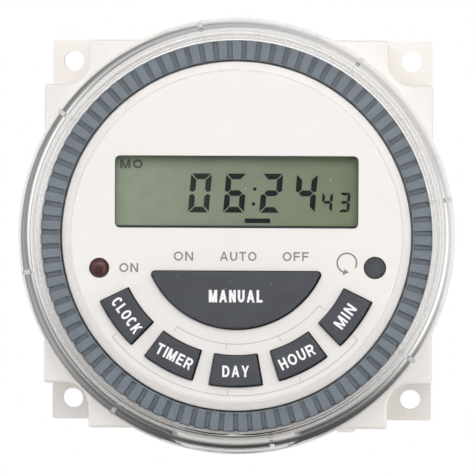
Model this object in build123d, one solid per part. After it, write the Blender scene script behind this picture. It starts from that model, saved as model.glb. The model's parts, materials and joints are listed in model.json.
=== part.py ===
from build123d import *
import os
from math import cos, pi, radians, sin

# Weekly timer switch: a square housing with four fixing holes and a DIN rail channel behind,
# and a round control face under a clear lift-off cover.
#
# Millimetres. X is right, Z is up and the front faces -Y. The origin is the centre of the four
# fixing holes, on the back plane. A depth is measured forward of that plane, so depth d is y = -d.

# ---------------------------------------------------------------- driving dimensions: housing
BODY = 60.0                 # side of the square housing and of its fixing plate
HOLE_PITCH = 53.5           # fixing hole spacing, both ways
HOLE_R = 1.6
NOTCH_WALL = 23.1           # distance from the centre to the walls of the corner notches
PLATE_FRONT = 3.0           # thickness of the fixing plate
SHELL_FRONT = 26.0          # depth of the housing's flat front
WALL = 1.6                  # housing wall thickness
GAP = 0.1                   # clearance between pieces that only meet
GATE_X = 16.75              # moulding gate on the bottom edge

# DIN rail channel (35 mm top-hat rail) across the back
RAIL_HALF = 17.75
CHANNEL_DEPTH = 6.0
TROUGH_HALF = 19.5          # outside of the channel's walls, inside the housing
TROUGH_FRONT = 8.0          # front of the channel's floor
HOOK_BACK, HOOK_FRONT = 2.2, 4.8
HOOK_REACH = 1.55           # how far the hooks and the latch stand over the rail's flange
PEG_TOP = -26.2             # fixed end of the latch's spring

# ---------------------------------------------------------------- driving dimensions: round face
COLLAR_R = 32.0             # collar that carries the clear cover
COLLAR_FRONT = 32.5
BORE_R = 27.0               # bore through the housing's front
LEDGE_DEPTH = 28.0          # ledge that the fascia rests on
POCKET_R = 29.1             # bore in front of that ledge
FACE_DEPTH = 35.9           # front of the white fascia
FACE_T = 1.4
FACE_R = 26.7
FACE_LINE_R = 25.36         # fine groove round the face
RIM_BREAK = 0.15            # size of the broken edges where the face and the ring meet
RING_INNER_R, RING_OUTER_R = 26.95, 29.95
RING_BACK = 32.8
RING_GROOVES = 83
GROOVE_SHARE = 0.35         # part of the pitch that a groove takes
GROOVE_DEPTH = 0.35
LUG_COUNT = 4
LUG_ANGLE = 12.0
LUG_TURN = 20.0             # turn that frees the ring
COVER_R = 33.4
COVER_BACK = 27.2
COVER_FRONT = 39.0
COVER_T = 1.2

# ---------------------------------------------------------------- driving dimensions: controls
WINDOW_W, WINDOW_H = 37.25, 11.08
WINDOW_Z = 6.76             # height of the display's centre above the face's centre
WINDOW_CORNER = 0.8
KEY_FRONT = 36.9
KEY_FOOT = 30.5
KEY_CLEARANCE = 0.2
KEY_SHIFT = 0.07            # keys sit this much up and to the left in their openings
KEY_INNER_R, KEY_OUTER_R = 18.35, 22.97
KEY_ANGLE = 20.0
KEY_PITCH_ANGLE = 27.0
MANUAL_R = 14.16
MANUAL_TOP = -5.44
MANUAL_TIP_R = 0.45
SMALL_KEYS = ["clock_key", "timer_key", "day_key", "hour_key", "minute_key"]
RESET_XZ = (21.18, -4.74)
RESET_R = 1.62
LED_XZ = (-20.95, -4.92)
LED_R = 1.45

# ---------------------------------------------------------------- driving dimensions: inside
BOARD_T = 1.6
CONTROL_BACK = 28.0
CONTROL_FRONT = CONTROL_BACK + BOARD_T
CONTROL_R = 25.0
POWER_BACK = 9.9
POWER_FRONT = POWER_BACK + BOARD_T
POWER_W, POWER_H = 55.0, 41.0
LEAD_R = 0.35
LEAD_HOLE_R = 0.5
LEAD_END = 9.0              # depth that the leads reach behind the power board
PIN_HOLE_R = 0.6
TAB_W, TAB_T = 6.3, 0.8
TAB_BACK = 15.0             # back face of the connector tabs
SUPPLY_X = [-7.0, 7.0]      # tabs in the top of the housing
SWITCH_X = [-10.0, 0.0, 10.0]
ASSEMBLY_SCREW_XZ = (19.0, 25.0)
POWER_SCREW_XZ = (25.2, 17.0)
FACE_SCREWS = [(13.0, 19.5, 1.9), (10.55, -12.36, 1.6)]   # x, z and boss radius, on both sides
RELAY_Z = 10.6
RELAY_W, RELAY_H = 29.0, 12.7


# ---------------------------------------------------------------- shape helpers
def plate(outline, back, front):
    """An outline in X and Z, made solid between two depths."""
    return extrude(Plane.XZ.offset(back) * outline, front - back)


def block(x_limits, z_limits, depths):
    """A box from its limits in X, in Z and in depth."""
    (left, right), (low, high), (back, front) = x_limits, z_limits, depths
    centre = Pos((left + right) / 2, -(back + front) / 2, (low + high) / 2)
    return centre * Box(right - left, front - back, high - low)


def rod(x, z, radius, back, front):
    """A round bar that points forward."""
    return plate(Pos(x, z) * Circle(radius), back, front)


def tube(x, z, outer, inner, back, front):
    """A round sleeve that points forward."""
    return plate(Pos(x, z) * (Circle(outer) - Circle(inner)), back, front)


def turned(*corners):
    """A body turned about the face's axis, from its corners (radius, depth, rounding)."""
    points = [corner[:2] for corner in corners]
    roundings = [corner[2] if len(corner) > 2 else 0.0 for corner in corners]
    profile = make_face(FilletPolyline(*points, radius=roundings, close=True))
    section = Plane(origin=(0, 0, 0), x_dir=(1, 0, 0), z_dir=(0, 0, -1))
    return revolve(section * profile, Axis.Y, 360)


def polar(radius, angle):
    """The point at a radius and an angle from +X, seen from the front."""
    return radius * cos(radians(angle)), radius * sin(radians(angle))


def sector(inner, outer, middle, width):
    """Part of a flat ring, centred on one angle and as many degrees wide as given."""
    start, end = middle - width / 2, middle + width / 2
    return make_face([
        CenterArc((0, 0), outer, start, width),
        Line(polar(outer, end), polar(inner, end)),
        CenterArc((0, 0), inner, start, width),
        Line(polar(inner, start), polar(outer, start)),
    ])


def front_edges(part):
    """The edges of a part's foremost face."""
    return part.faces().sort_by(Axis.Y)[0].edges()


def group(solids):
    """Several pieces as one part."""
    return Part() + list(solids)


def both_sides(x, z):
    """A point and its mirror image left of the centre line."""
    return [(-x, z), (x, z)]


def four_corners(x, z):
    """A point and its mirror images in both centre lines."""
    return both_sides(x, z) + both_sides(x, -z)


# ---------------------------------------------------------------- housing
def housing_outline():
    """The square body with a round-cornered notch at each corner, clear of the fixing holes."""
    notch = BODY / 2 - NOTCH_WALL
    middle = NOTCH_WALL + notch / 2
    outline = Rectangle(BODY, BODY)
    for x, z in four_corners(middle, middle):
        outline -= Pos(x, z) * Rectangle(notch, notch)
    inner = [v for v in outline.vertices() if max(abs(v.X), abs(v.Y)) < NOTCH_WALL + GAP]
    outline = fillet(inner, HOLE_PITCH / 2 - NOTCH_WALL)
    outer = [v for v in outline.vertices() if min(abs(v.X), abs(v.Y)) > NOTCH_WALL - GAP
             and max(abs(v.X), abs(v.Y)) > BODY / 2 - GAP]
    return fillet(outer, 0.5)


def tab_windows(side, z_limits):
    """Boxes for the sockets of the connector tabs on one side: 1 is the top, -1 the bottom."""
    across = SUPPLY_X if side > 0 else SWITCH_X
    low, high = sorted(side * z for z in z_limits)
    middle = TAB_BACK + TAB_T / 2
    return [block((x - 4.3, x + 4.3), (low, high), (middle - 3.2, middle + 3.2)) for x in across]


def make_rear_plate():
    half, pitch = BODY / 2, HOLE_PITCH / 2
    part = plate(RectangleRounded(BODY, BODY, 0.4), 0, PLATE_FRONT)
    part += block((-half, half), (-TROUGH_HALF, TROUGH_HALF), (0, TROUGH_FRONT))
    part += block((-12, 12), (-half, -TROUGH_HALF), (0, TROUGH_FRONT))
    part -= block((-half, half), (-RAIL_HALF, RAIL_HALF), (0, CHANNEL_DEPTH))
    for x in (-18, 18):
        part += block((x - 5, x + 5), (RAIL_HALF - HOOK_REACH, RAIL_HALF), (HOOK_BACK, HOOK_FRONT))
    # Guide for the rail latch, open to the back between its lips, with the spring's fixed peg
    part -= block((-7.2, 7.2), (-half, -RAIL_HALF), (2.3, 4.95))
    part -= block((-5.2, 5.2), (-half, -RAIL_HALF), (0, 2.3))
    part += block((-1.2, 1.2), (PEG_TOP - 1.0, PEG_TOP), (2.3, 4.95))
    # Fixing holes, and counterbored holes for the screws that close the housing
    for x, z in four_corners(pitch, pitch):
        part -= rod(x, z, HOLE_R, 0, PLATE_FRONT)
    for x, z in four_corners(*ASSEMBLY_SCREW_XZ):
        part -= rod(x, z, 1.6, 0, PLATE_FRONT)
        part -= rod(x, z, 3.0, 0, 1.8)
    # Standoffs for the power board
    for x, z in four_corners(*POWER_SCREW_XZ):
        part += rod(x, z, 2.2, TROUGH_FRONT, POWER_BACK)
        part -= rod(x, z, 0.95, CHANNEL_DEPTH + 1.0, POWER_BACK)
    return part


def make_front_shell():
    half = BODY / 2
    outline = housing_outline()
    part = plate(outline, PLATE_FRONT, SHELL_FRONT)
    part = fillet(front_edges(part), 0.5)
    part -= plate(offset(outline, -WALL), PLATE_FRONT, SHELL_FRONT - WALL)
    part += rod(0, 0, COLLAR_R, SHELL_FRONT, COLLAR_FRONT)
    # Stepped bore: the fascia rests on its ledge, and the ring turns in front of it
    part -= rod(0, 0, BORE_R, SHELL_FRONT - WALL, LEDGE_DEPTH)
    part -= rod(0, 0, POCKET_R, LEDGE_DEPTH, COLLAR_FRONT)
    part -= rod(0, 0, POCKET_R + 0.65, LEDGE_DEPTH + 0.6, LEDGE_DEPTH + 2.2)
    for lug in range(LUG_COUNT):
        way_in = sector(POCKET_R - 0.5, POCKET_R + 0.65, lug_angle(lug) + LUG_TURN, LUG_ANGLE + 4)
        part -= plate(way_in, LEDGE_DEPTH + 2.2, COLLAR_FRONT)
    # Screw bosses in the top and bottom lobes
    for x, z in four_corners(*ASSEMBLY_SCREW_XZ):
        part += rod(x, z, 3.0, PLATE_FRONT, SHELL_FRONT - WALL)
        part -= rod(x, z, 1.35, PLATE_FRONT, 18)
    # Room for the rail channel at the sides and for the latch guide below
    trough = TROUGH_HALF + GAP
    for side in (-1, 1):
        reach = sorted((side * (half - WALL - 1), side * half))
        part -= block(reach, (-trough, trough), (PLATE_FRONT, TROUGH_FRONT + GAP))
    part -= block((-12.1, 12.1), (-half, 1 - half + WALL), (PLATE_FRONT, TROUGH_FRONT + GAP))
    for side in (-1, 1):
        part -= group(tab_windows(side, (half - WALL - 1, half)))
    # Small moulding gate left on the bottom edge
    gate = Pos(GATE_X, -half) * RectangleRounded(3.1, 1.1, 0.5)
    return part + plate(gate, 21, SHELL_FRONT - 0.4)


def make_assembly_screws():
    screws = []
    for x, z in four_corners(*ASSEMBLY_SCREW_XZ):
        screw = rod(x, z, 2.7, 0.3, 1.8) + rod(x, z, 1.3, 1.8, 15)
        for size in ((3.0, 0.6), (0.6, 3.0)):
            screw -= plate(Pos(x, z) * Rectangle(*size), 0.3, 1.2)
        screws.append(screw)
    return group(screws)


# ---------------------------------------------------------------- rail latch
def make_din_latch():
    outline = Pos(0, -22.5) * Rectangle(14.0, 13.0)
    outline += Pos(0, -29.0) * Rectangle(9.6, 3.8)
    outline -= Pos(0, (-21.0 - 27.5) / 2) * Rectangle(3.0, 6.5)
    outline -= Pos(0, -29.6) * Rectangle(5.0, 1.0)
    part = plate(outline, HOOK_BACK + 0.25, HOOK_FRONT)
    # Sloped nose, so that the rail pushes the latch aside
    nose = part.faces().sort_by(Axis.Z)[-1].edges().sort_by(Axis.Y)[-1]
    return chamfer(nose, 1.2)


def make_latch_spring():
    turns, length, wire_r = 6, 4.7, 0.14
    coil = Helix(pitch=length / turns, height=length, radius=0.85)
    wire = sweep(Plane(coil @ 0, z_dir=coil % 0) * Circle(wire_r), coil)
    return Pos(0, -(HOOK_BACK + 0.25 + HOOK_FRONT) / 2, PEG_TOP + wire_r + 0.02) * wire


# ---------------------------------------------------------------- ring, fascia and cover
def lug_angle(number):
    """Where a bayonet lug of the locking ring lies when the ring is locked."""
    return 35 + number * 360 / LUG_COUNT


def make_locking_ring():
    part = turned(
        (RING_INNER_R, RING_BACK), (RING_INNER_R, FACE_DEPTH - RIM_BREAK),
        (RING_INNER_R + RIM_BREAK, FACE_DEPTH), (RING_OUTER_R, FACE_DEPTH, 0.3), (RING_OUTER_R, RING_BACK), (POCKET_R - 0.2, RING_BACK),
        (POCKET_R - 0.2, LEDGE_DEPTH + 0.8), (POCKET_R - 1.2, LEDGE_DEPTH + 0.8),
        (POCKET_R - 1.2, RING_BACK),
    )
    for lug in range(LUG_COUNT):
        shape = sector(POCKET_R - 0.6, POCKET_R + 0.45, lug_angle(lug), LUG_ANGLE)
        part += plate(shape, LEDGE_DEPTH + 0.8, LEDGE_DEPTH + 2.0)
    width = GROOVE_SHARE * 2 * pi * (RING_INNER_R + RING_OUTER_R) / 2 / RING_GROOVES
    groove = block((RING_INNER_R + 0.3, RING_OUTER_R + 1), (-width / 2, width / 2),
                   (FACE_DEPTH - GROOVE_DEPTH, FACE_DEPTH + 1))
    groove += block((RING_OUTER_R - GROOVE_DEPTH, RING_OUTER_R + 1), (-width / 2, width / 2),
                    (RING_BACK + 0.6, FACE_DEPTH + 1))
    return part - [Rot(0, 90 + n * 360 / RING_GROOVES, 0) * groove for n in range(RING_GROOVES)]


def key_outlines():
    """The outline of each key, seen from the front, by its name."""
    segment = Circle(MANUAL_R) & Pos(0, MANUAL_TOP - MANUAL_R) * Rectangle(2 * MANUAL_R, 2 * MANUAL_R)
    outlines = {"manual_key": fillet(segment.vertices(), MANUAL_TIP_R)}
    for place, name in enumerate(SMALL_KEYS):
        middle = 270 + (place - 2) * KEY_PITCH_ANGLE
        outlines[name] = sector(KEY_INNER_R, KEY_OUTER_R, middle, KEY_ANGLE)
    outlines["reset_button"] = Pos(*RESET_XZ) * Circle(RESET_R - KEY_CLEARANCE / 2)
    return outlines


def make_fascia():
    back, skirt_r, flange_r = FACE_DEPTH - FACE_T, FACE_R - 1.4, POCKET_R - 1.35
    line_w = 0.12
    part = turned(
        (0, back), (skirt_r, back), (skirt_r, LEDGE_DEPTH + GAP), (flange_r, LEDGE_DEPTH + GAP),
        (flange_r, RING_BACK - GAP), (FACE_R, RING_BACK - GAP), (FACE_R, FACE_DEPTH - 0.6, RIM_BREAK),
        (FACE_LINE_R + line_w, FACE_DEPTH - 0.04), (FACE_LINE_R, FACE_DEPTH - 0.2),
        (FACE_LINE_R - line_w, FACE_DEPTH), (0, FACE_DEPTH),
    )
    part -= plate(Pos(0, WINDOW_Z) * RectangleRounded(WINDOW_W, WINDOW_H, WINDOW_CORNER), back, FACE_DEPTH)
    part -= plate(Pos(*LED_XZ) * Circle(LED_R + GAP), back, FACE_DEPTH)
    for outline in key_outlines().values():
        part -= plate(offset(outline, KEY_CLEARANCE), back, FACE_DEPTH)
    for x, z, boss_r in FACE_SCREWS:
        for side in (-x, x):
            part += rod(side, z, boss_r, CONTROL_FRONT, back)
            part -= rod(side, z, 0.95, CONTROL_FRONT, back - 0.5)
    return part


def make_clear_cover():
    inner_front, step_r = COVER_FRONT - COVER_T, 31.0
    shoulder, inner_r = 37.3, 32.3
    part = turned(
        (0, COVER_FRONT), (step_r, COVER_FRONT, 0.8), (step_r, shoulder), (COVER_R, shoulder, 2.1),
        (COVER_R, COVER_BACK), (inner_r, COVER_BACK), (inner_r, 33.5), (30.35, 35.0),
        (30.35, inner_front, 0.4), (0, inner_front),
    )
    # Small ribs inside the corner, which stop against the collar
    for number in range(8):
        rib = block((inner_r - 1.3, inner_r + 0.3), (-0.55, 0.55), (COLLAR_FRONT + 0.2, 34.7))
        part += Rot(0, -10 - 45 * number, 0) * rib
    # Flat thumb facet on the shoulder at the bottom: depth = facet_start + slope * z
    facet_start, slope, reach = 50.83, 0.45, 12.0
    level = facet_start - slope * COVER_R
    section = Plane(origin=(-reach, 0, 0), x_dir=(0, -1, 0), z_dir=(1, 0, 0))
    wedge = Polyline((level, -COVER_R - 1), (level + slope * 6, -COVER_R + 5), (level + 9, -COVER_R + 5),
                     (level + 9, -COVER_R - 1), close=True)
    cutter = extrude(section * make_face(wedge), 2 * reach)
    return part - (cutter - rod(0, 0, step_r, 20, 60))


# ---------------------------------------------------------------- keypad
def make_key(outline, front, rounding):
    """A key: its cap in the fascia's opening, and a narrower foot over the board's contacts."""
    outline = Pos(-KEY_SHIFT, KEY_SHIFT) * outline
    cap = plate(outline, FACE_DEPTH - FACE_T - 0.4, front)
    cap = fillet(front_edges(cap), rounding)
    return cap + plate(offset(outline, -0.8), KEY_FOOT, FACE_DEPTH - FACE_T - 0.4)


def make_reset_button():
    x, z = RESET_XZ
    return rod(x, z, RESET_R - KEY_CLEARANCE / 2, 32.0, 35.6) + rod(x, z, 0.9, KEY_FOOT, 32.0)


def make_keypad_mat():
    top, half = -2.7, 25.0
    mat = Circle(24.6) & Pos(0, top - half) * Rectangle(2 * half, 2 * half)
    for name, outline in key_outlines().items():
        hole = 0.2 if name == "reset_button" else -0.3
        mat -= offset(outline, hole)
    mat -= Pos(*LED_XZ) * Circle(2.4)
    x, z, boss_r = FACE_SCREWS[1]
    for side in (-x, x):
        mat -= Pos(side, z) * Circle(boss_r + 0.3)
    return plate(mat, CONTROL_FRONT, KEY_FOOT + GAP)


def make_key_domes():
    """Thin flexible webs that carry the keys on the mat and bring them back."""
    webs = []
    for name, outline in key_outlines().items():
        small = name == "reset_button"
        outer = offset(outline, 0.6 if small else -0.05)
        inner = Pos(*RESET_XZ) * Circle(0.95) if small else offset(outline, -0.65)
        shift = Pos(-KEY_SHIFT, KEY_SHIFT) if not small else Pos(0, 0)
        webs.append(plate(outer - shift * inner, KEY_FOOT + GAP, KEY_FOOT + 0.45))
    return group(webs)


def make_contact_pads():
    pads = []
    for name, outline in key_outlines().items():
        x, z = outline.center().X, outline.center().Y
        disc = Pos(x, z) * (Circle(1.0 if name == "reset_button" else 1.7) - Rectangle(0.4, 5))
        pads.append(plate(disc, CONTROL_FRONT, CONTROL_FRONT + 0.05))
    return group(pads)


# ---------------------------------------------------------------- display
GLASS_W, GLASS_TOP, GLASS_LOW = 39.6, 13.46, 0.06
LEDGE_LOW = -1.6            # the front glass reaches down to its contacts


def make_lcd_lens():
    back = FACE_DEPTH - FACE_T - 1.0
    part = plate(Pos(0, WINDOW_Z) * Rectangle(GLASS_W, GLASS_TOP - GLASS_LOW), back, back + 1.0)
    raised = RectangleRounded(WINDOW_W - 0.2, WINDOW_H - 0.2, WINDOW_CORNER)
    return part + plate(Pos(0, WINDOW_Z) * raised, back + 1.0, FACE_DEPTH - 0.6)


def make_lcd_glass():
    half = GLASS_W / 2
    front_pane = block((-half, half), (LEDGE_LOW, GLASS_TOP), (32.3, 33.3))
    return front_pane + block((-half, half), (GLASS_LOW, GLASS_TOP), (31.3, 32.3))


def make_lcd_reflector():
    half = GLASS_W / 2
    return block((-half, half), (GLASS_LOW, GLASS_TOP), (31.0, 31.3))


def make_lcd_frame():
    half, rim = GLASS_W / 2 + 0.15, 0.75
    low, high = LEDGE_LOW - 0.15, GLASS_TOP + 0.15
    part = block((-half - rim, half + rim), (low - rim, high + rim), (CONTROL_FRONT, 33.35))
    part -= block((-half, half), (low, high), (31.0, 33.35))
    part -= block((-half + 0.8, half - 0.8), (low, high - 0.8), (CONTROL_FRONT, 31.0))
    return part & rod(0, 0, CONTROL_R, CONTROL_FRONT, 34)


def make_zebra_strip():
    return block((-18.4, 18.4), (LEDGE_LOW + 0.2, GLASS_LOW - 0.25), (CONTROL_FRONT, 32.3))


# ---------------------------------------------------------------- control board
HEADER_X = 17.8
HEADER_Z = [3.0 + 2.54 * n for n in range(4)]
LED_LEADS = [(LED_XZ[0] + shift, LED_XZ[1]) for shift in (-0.9, 0.9)]


def make_control_board():
    outline = Circle(CONTROL_R)
    for x, z, _ in FACE_SCREWS:
        for side in (-x, x):
            outline -= Pos(side, z) * Circle(1.1)
    for x, z in LED_LEADS:
        outline -= Pos(x, z) * Circle(LEAD_HOLE_R)
    for z in HEADER_Z:
        outline -= Pos(HEADER_X, z) * Circle(PIN_HOLE_R)
    return plate(outline, CONTROL_BACK, CONTROL_FRONT)


def make_control_screws():
    screws = []
    for x, z, _ in FACE_SCREWS:
        for side in (-x, x):
            screw = rod(side, z, 1.8, CONTROL_BACK - 1.2, CONTROL_BACK)
            screw += rod(side, z, 0.9, CONTROL_BACK, FACE_DEPTH - FACE_T - 1.0)
            for size in ((2.4, 0.4), (0.4, 2.4)):
                screw -= plate(Pos(side, z) * Rectangle(*size), CONTROL_BACK - 1.2, CONTROL_BACK - 0.6)
            screws.append(screw)
    return group(screws)


def make_microcontroller():
    side, lead_w, lead_pitch = 9.0, 0.35, 0.8
    x, z = -5.0, 7.0
    chip = plate(Pos(x, z) * Rectangle(side, side), CONTROL_FRONT + 0.1, CONTROL_FRONT + 1.15)
    chip = chamfer(front_edges(chip), 0.12)
    for number in range(11):
        along = (number - 5) * lead_pitch
        for size, dx, dz in (((side + 2, lead_w), 0, along), ((lead_w, side + 2), along, 0)):
            chip += plate(Pos(x + dx, z + dz) * Rectangle(*size), CONTROL_FRONT, CONTROL_FRONT + 0.2)
    return chip


def make_crystal():
    can = plate(Pos(6.5, 9.0) * RectangleRounded(7.0, 3.0, 1.2), CONTROL_FRONT, CONTROL_FRONT + 1.1)
    return fillet(front_edges(can), 0.3)


def make_smd_parts():
    chips = []
    for row, z in enumerate((2.0, 5.0)):
        for column in range(5):
            x = 4.0 + column * 2.3
            chips.append(block((x, x + 1.2), (z, z + 1.9), (CONTROL_FRONT, CONTROL_FRONT + 0.6 + 0.1 * row)))
    return group(chips)


def make_indicator_led():
    x, z = LED_XZ
    part = rod(x, z, LED_R, 31.0, FACE_DEPTH + 0.5)
    return fillet(front_edges(part), 1.0)


def make_led_leads():
    return group(rod(x, z, LEAD_R, CONTROL_BACK - 0.7, 31.0) for x, z in LED_LEADS)


# ---------------------------------------------------------------- connector tabs and blocks
def tab_parts(side, across):
    """L-shaped connector tabs: a blade in its socket, and a foot with two pins through the board."""
    tabs = []
    for x in across:
        half = TAB_W / 2
        blade = Rectangle(TAB_W, 9.8)
        blade = chamfer(blade.vertices().group_by(Axis.Y)[-1], 1.1)
        blade -= Pos(0, 2.4) * Circle(0.85)
        tab = plate(blade, TAB_BACK, TAB_BACK + TAB_T)
        tab += block((-half, half), (-4.9, -4.1), (POWER_FRONT, TAB_BACK))
        for pin in (-1.6, 1.6):
            tab += block((pin - 0.5, pin + 0.5), (-4.9, -4.1), (LEAD_END, POWER_FRONT))
        turn = 0 if side > 0 else 180
        tabs.append(Pos(x, 0, side * 23.1) * Rot(0, turn, 0) * tab)
    return group(tabs)


def tab_block(side, across, back):
    """The moulded block that divides the sockets of the connector tabs."""
    half = max(across) + 5.0
    low, high = sorted((side * 20.7, side * (BODY / 2 - WALL - GAP)))
    part = block((-half, half), (low, high), (back, TAB_BACK + TAB_T / 2 + 4.2))
    part -= group(tab_windows(side, (21.6, BODY / 2)))
    for x in across:
        slot_half = TAB_W / 2 + GAP
        part -= block((x - slot_half, x + slot_half), (low, high), (TAB_BACK - GAP, TAB_BACK + TAB_T + GAP))
    return part


# ---------------------------------------------------------------- power board
FILM_XZ, FILM_SIZE = (-16.5, -0.5), (18.0, 7.5)
ELECTROLYTIC_XZ, ELECTROLYTIC_R = (-21.5, -9.5), 4.0
VARISTOR_XZ, VARISTOR_R, VARISTOR_T = (0.5, 0.5), 4.5, 3.5
FUSE_XZ, FUSE_R = (2.0, -7.5), 4.2
BATTERY_XZ, BATTERY_R = (17.0, -6.5), 8.0
TRANSISTOR_XZ = (-20.6, -16.8)
DIODE_ROWS = [-7.0 - 2.8 * n for n in range(4)]
DIODE_ENDS = (-15.4, -5.6)
RESISTOR_Z, RESISTOR_ENDS = -16.4, (8.4, 18.6)
RELAY_PINS = [(-11.0, -4.0), (-11.0, 4.0), (9.2, 0.0), (11.8, 0.0), (-1.0, 0.0)]


def lead_places():
    """Where the round leads of the parts on the power board go through it."""
    places = []
    for (x, z), half in ((FILM_XZ, 7.5), (ELECTROLYTIC_XZ, 1.75), (VARISTOR_XZ, 2.5), (FUSE_XZ, 2.54)):
        places += [(x - half, z), (x + half, z)]
    places += [(TRANSISTOR_XZ[0] + shift, TRANSISTOR_XZ[1]) for shift in (-1.27, 0, 1.27)]
    places += [(x, z) for z in DIODE_ROWS for x in DIODE_ENDS]
    return places + [(x, RESISTOR_Z) for x in RESISTOR_ENDS]


def make_power_board():
    outline = RectangleRounded(POWER_W, POWER_H, 1.0)
    for x, z in four_corners(*POWER_SCREW_XZ):
        outline -= Pos(x, z) * Circle(1.1)
    for x, z in lead_places():
        outline -= Pos(x, z) * Circle(LEAD_HOLE_R)
    for x, z in RELAY_PINS:
        outline -= Pos(x, z + RELAY_Z) * Circle(PIN_HOLE_R)
    for z in HEADER_Z:
        outline -= Pos(HEADER_X, z) * Circle(PIN_HOLE_R)
    for x in (BATTERY_XZ[0] - BATTERY_R - 0.6, BATTERY_XZ[0] + BATTERY_R + 0.6):
        outline -= Pos(x, BATTERY_XZ[1]) * Rectangle(0.6, 2.3)
    for side, across in ((1, SUPPLY_X), (-1, SWITCH_X)):
        for x in across:
            for pin in (-1.6, 1.6):
                outline -= Pos(x + pin, side * (23.1 - 4.5)) * Rectangle(1.3, 1.1)
    return plate(outline, POWER_BACK, POWER_FRONT)


def make_power_screws():
    screws = []
    for x, z in four_corners(*POWER_SCREW_XZ):
        screw = rod(x, z, 1.8, POWER_FRONT, POWER_FRONT + 1.2)
        screw += rod(x, z, 0.9, CHANNEL_DEPTH + 1.5, POWER_FRONT)
        for size in ((2.4, 0.4), (0.4, 2.4)):
            screw -= plate(Pos(x, z) * Rectangle(*size), POWER_FRONT + 0.6, POWER_FRONT + 1.2)
        screws.append(screw)
    return group(screws)


def make_component_leads():
    """Tinned leads; those of the lying parts turn at right angles above the board."""
    leads = [rod(x, z, LEAD_R, LEAD_END, POWER_FRONT + 0.3) for x, z in lead_places()]
    axis_depth = POWER_FRONT + 1.6
    rows = [(z, DIODE_ENDS) for z in DIODE_ROWS] + [(RESISTOR_Z, RESISTOR_ENDS)]
    for z, (left, right) in rows:
        bar = Pos((left + right) / 2, -axis_depth, z) * Rot(0, 90, 0) * Cylinder(LEAD_R, right - left)
        body = block((left + 2.0, right - 2.0), (z - 2, z + 2), (POWER_FRONT, axis_depth + 2))
        leads.append(bar - body)
        leads += [rod(x, z, LEAD_R, POWER_FRONT, axis_depth) for x in (left, right)]
    return group(leads)


def lying_bodies(rows, ends, radius):
    """Round component bodies that lie along X between the bends of their leads."""
    left, right = ends
    length = right - left - 4.0
    lying = Rot(0, 90, 0) * Cylinder(radius, length)
    lying = fillet(lying.edges().filter_by(GeomType.CIRCLE), 0.25)
    return group(Pos((left + right) / 2, -POWER_FRONT - 1.6, z) * lying for z in rows)


def make_film_capacitor():
    width, height = FILM_SIZE
    part = plate(Pos(*FILM_XZ) * RectangleRounded(width, height, 0.5), POWER_FRONT + 0.3, 24.0)
    return fillet(front_edges(part), 0.5)


def make_electrolytic_capacitor():
    x, z = ELECTROLYTIC_XZ
    part = rod(x, z, ELECTROLYTIC_R, POWER_FRONT + 0.3, 23.5)
    part = fillet(part.edges().filter_by(GeomType.CIRCLE), 0.6)
    for size in ((5.6, 0.3), (0.3, 5.6)):
        part -= plate(Pos(x, z) * Rectangle(*size), 23.3, 23.5)
    return part


def make_varistor():
    x, z = VARISTOR_XZ
    disc = Cylinder(VARISTOR_R, VARISTOR_T)
    disc = fillet(disc.edges().filter_by(GeomType.CIRCLE), 1.0)
    return Pos(x, -(POWER_FRONT + 0.3 + VARISTOR_R), z) * disc


def make_fuse():
    part = rod(*FUSE_XZ, FUSE_R, POWER_FRONT + 0.3, 19.8)
    return fillet(front_edges(part), 0.4)


def make_transistor():
    x, z = TRANSISTOR_XZ
    outline = Circle(2.35) & Pos(0, 1.0) * Rectangle(5, 4)
    return plate(Pos(x, z) * outline, POWER_FRONT + 0.3, 18.0)


def make_backup_battery():
    part = rod(*BATTERY_XZ, BATTERY_R, 12.0, 18.5)
    return fillet(part.edges().filter_by(GeomType.CIRCLE), 0.5)


def make_battery_clips():
    x, z = BATTERY_XZ
    reach, sheet = BATTERY_R + 0.4, 0.3
    strap = block((x - reach, x + reach), (z - 2, z + 2), (18.5, 18.5 + sheet))
    for side in (-1, 1):
        limits = sorted((x + side * reach, x + side * (reach + sheet)))
        strap += block(limits, (z - 2, z + 2), (POWER_FRONT, 18.5 + sheet))
        strap += block(limits, (z - 1, z + 1), (LEAD_END, POWER_FRONT))
    contact = block((x - 4, x + 4), (z - 3, z + 3), (POWER_FRONT, 12.0))
    return group([strap, contact])


def make_link_header():
    low, high = HEADER_Z[0] - 1.27, HEADER_Z[-1] + 1.27
    part = block((HEADER_X - 1.25, HEADER_X + 1.25), (low, high), (POWER_FRONT, POWER_FRONT + 2.5))
    for z in HEADER_Z:
        part -= rod(HEADER_X, z, 0.45, POWER_FRONT, POWER_FRONT + 2.5)
    return part


def make_link_pins():
    return group(rod(HEADER_X, z, 0.4, LEAD_END, CONTROL_FRONT + 0.5) for z in HEADER_Z)


# ---------------------------------------------------------------- relay
RELAY_BACK, RELAY_FLOOR, RELAY_TOP = POWER_FRONT + 0.2, POWER_FRONT + 2.0, 27.2
COIL_X = -6.0
HINGE_X, HINGE_DEPTH = -12.1, 23.95
CONTACT_X, CONTACT_R = 5.0, 1.4


def relay_rod(x, radius, back, front):
    return rod(x, RELAY_Z, radius, back, front)


def relay_block(x_limits, half_height, depths):
    return block(x_limits, (RELAY_Z - half_height, RELAY_Z + half_height), depths)


def make_relay_base():
    half = RELAY_W / 2
    return relay_block((-half, half), RELAY_H / 2, (RELAY_BACK, RELAY_FLOOR))


def make_relay_case():
    half, wall = RELAY_W / 2, 0.8
    outline = Pos(0, RELAY_Z) * RectangleRounded(RELAY_W, RELAY_H, 0.6)
    part = plate(outline, RELAY_FLOOR, RELAY_TOP)
    part = fillet(front_edges(part), 0.4)
    return part - relay_block((wall - half, half - wall), RELAY_H / 2 - wall, (RELAY_FLOOR, RELAY_TOP - wall))


def make_relay_pins():
    return group(rod(x, z + RELAY_Z, 0.45, LEAD_END, RELAY_BACK) for x, z in RELAY_PINS)


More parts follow.
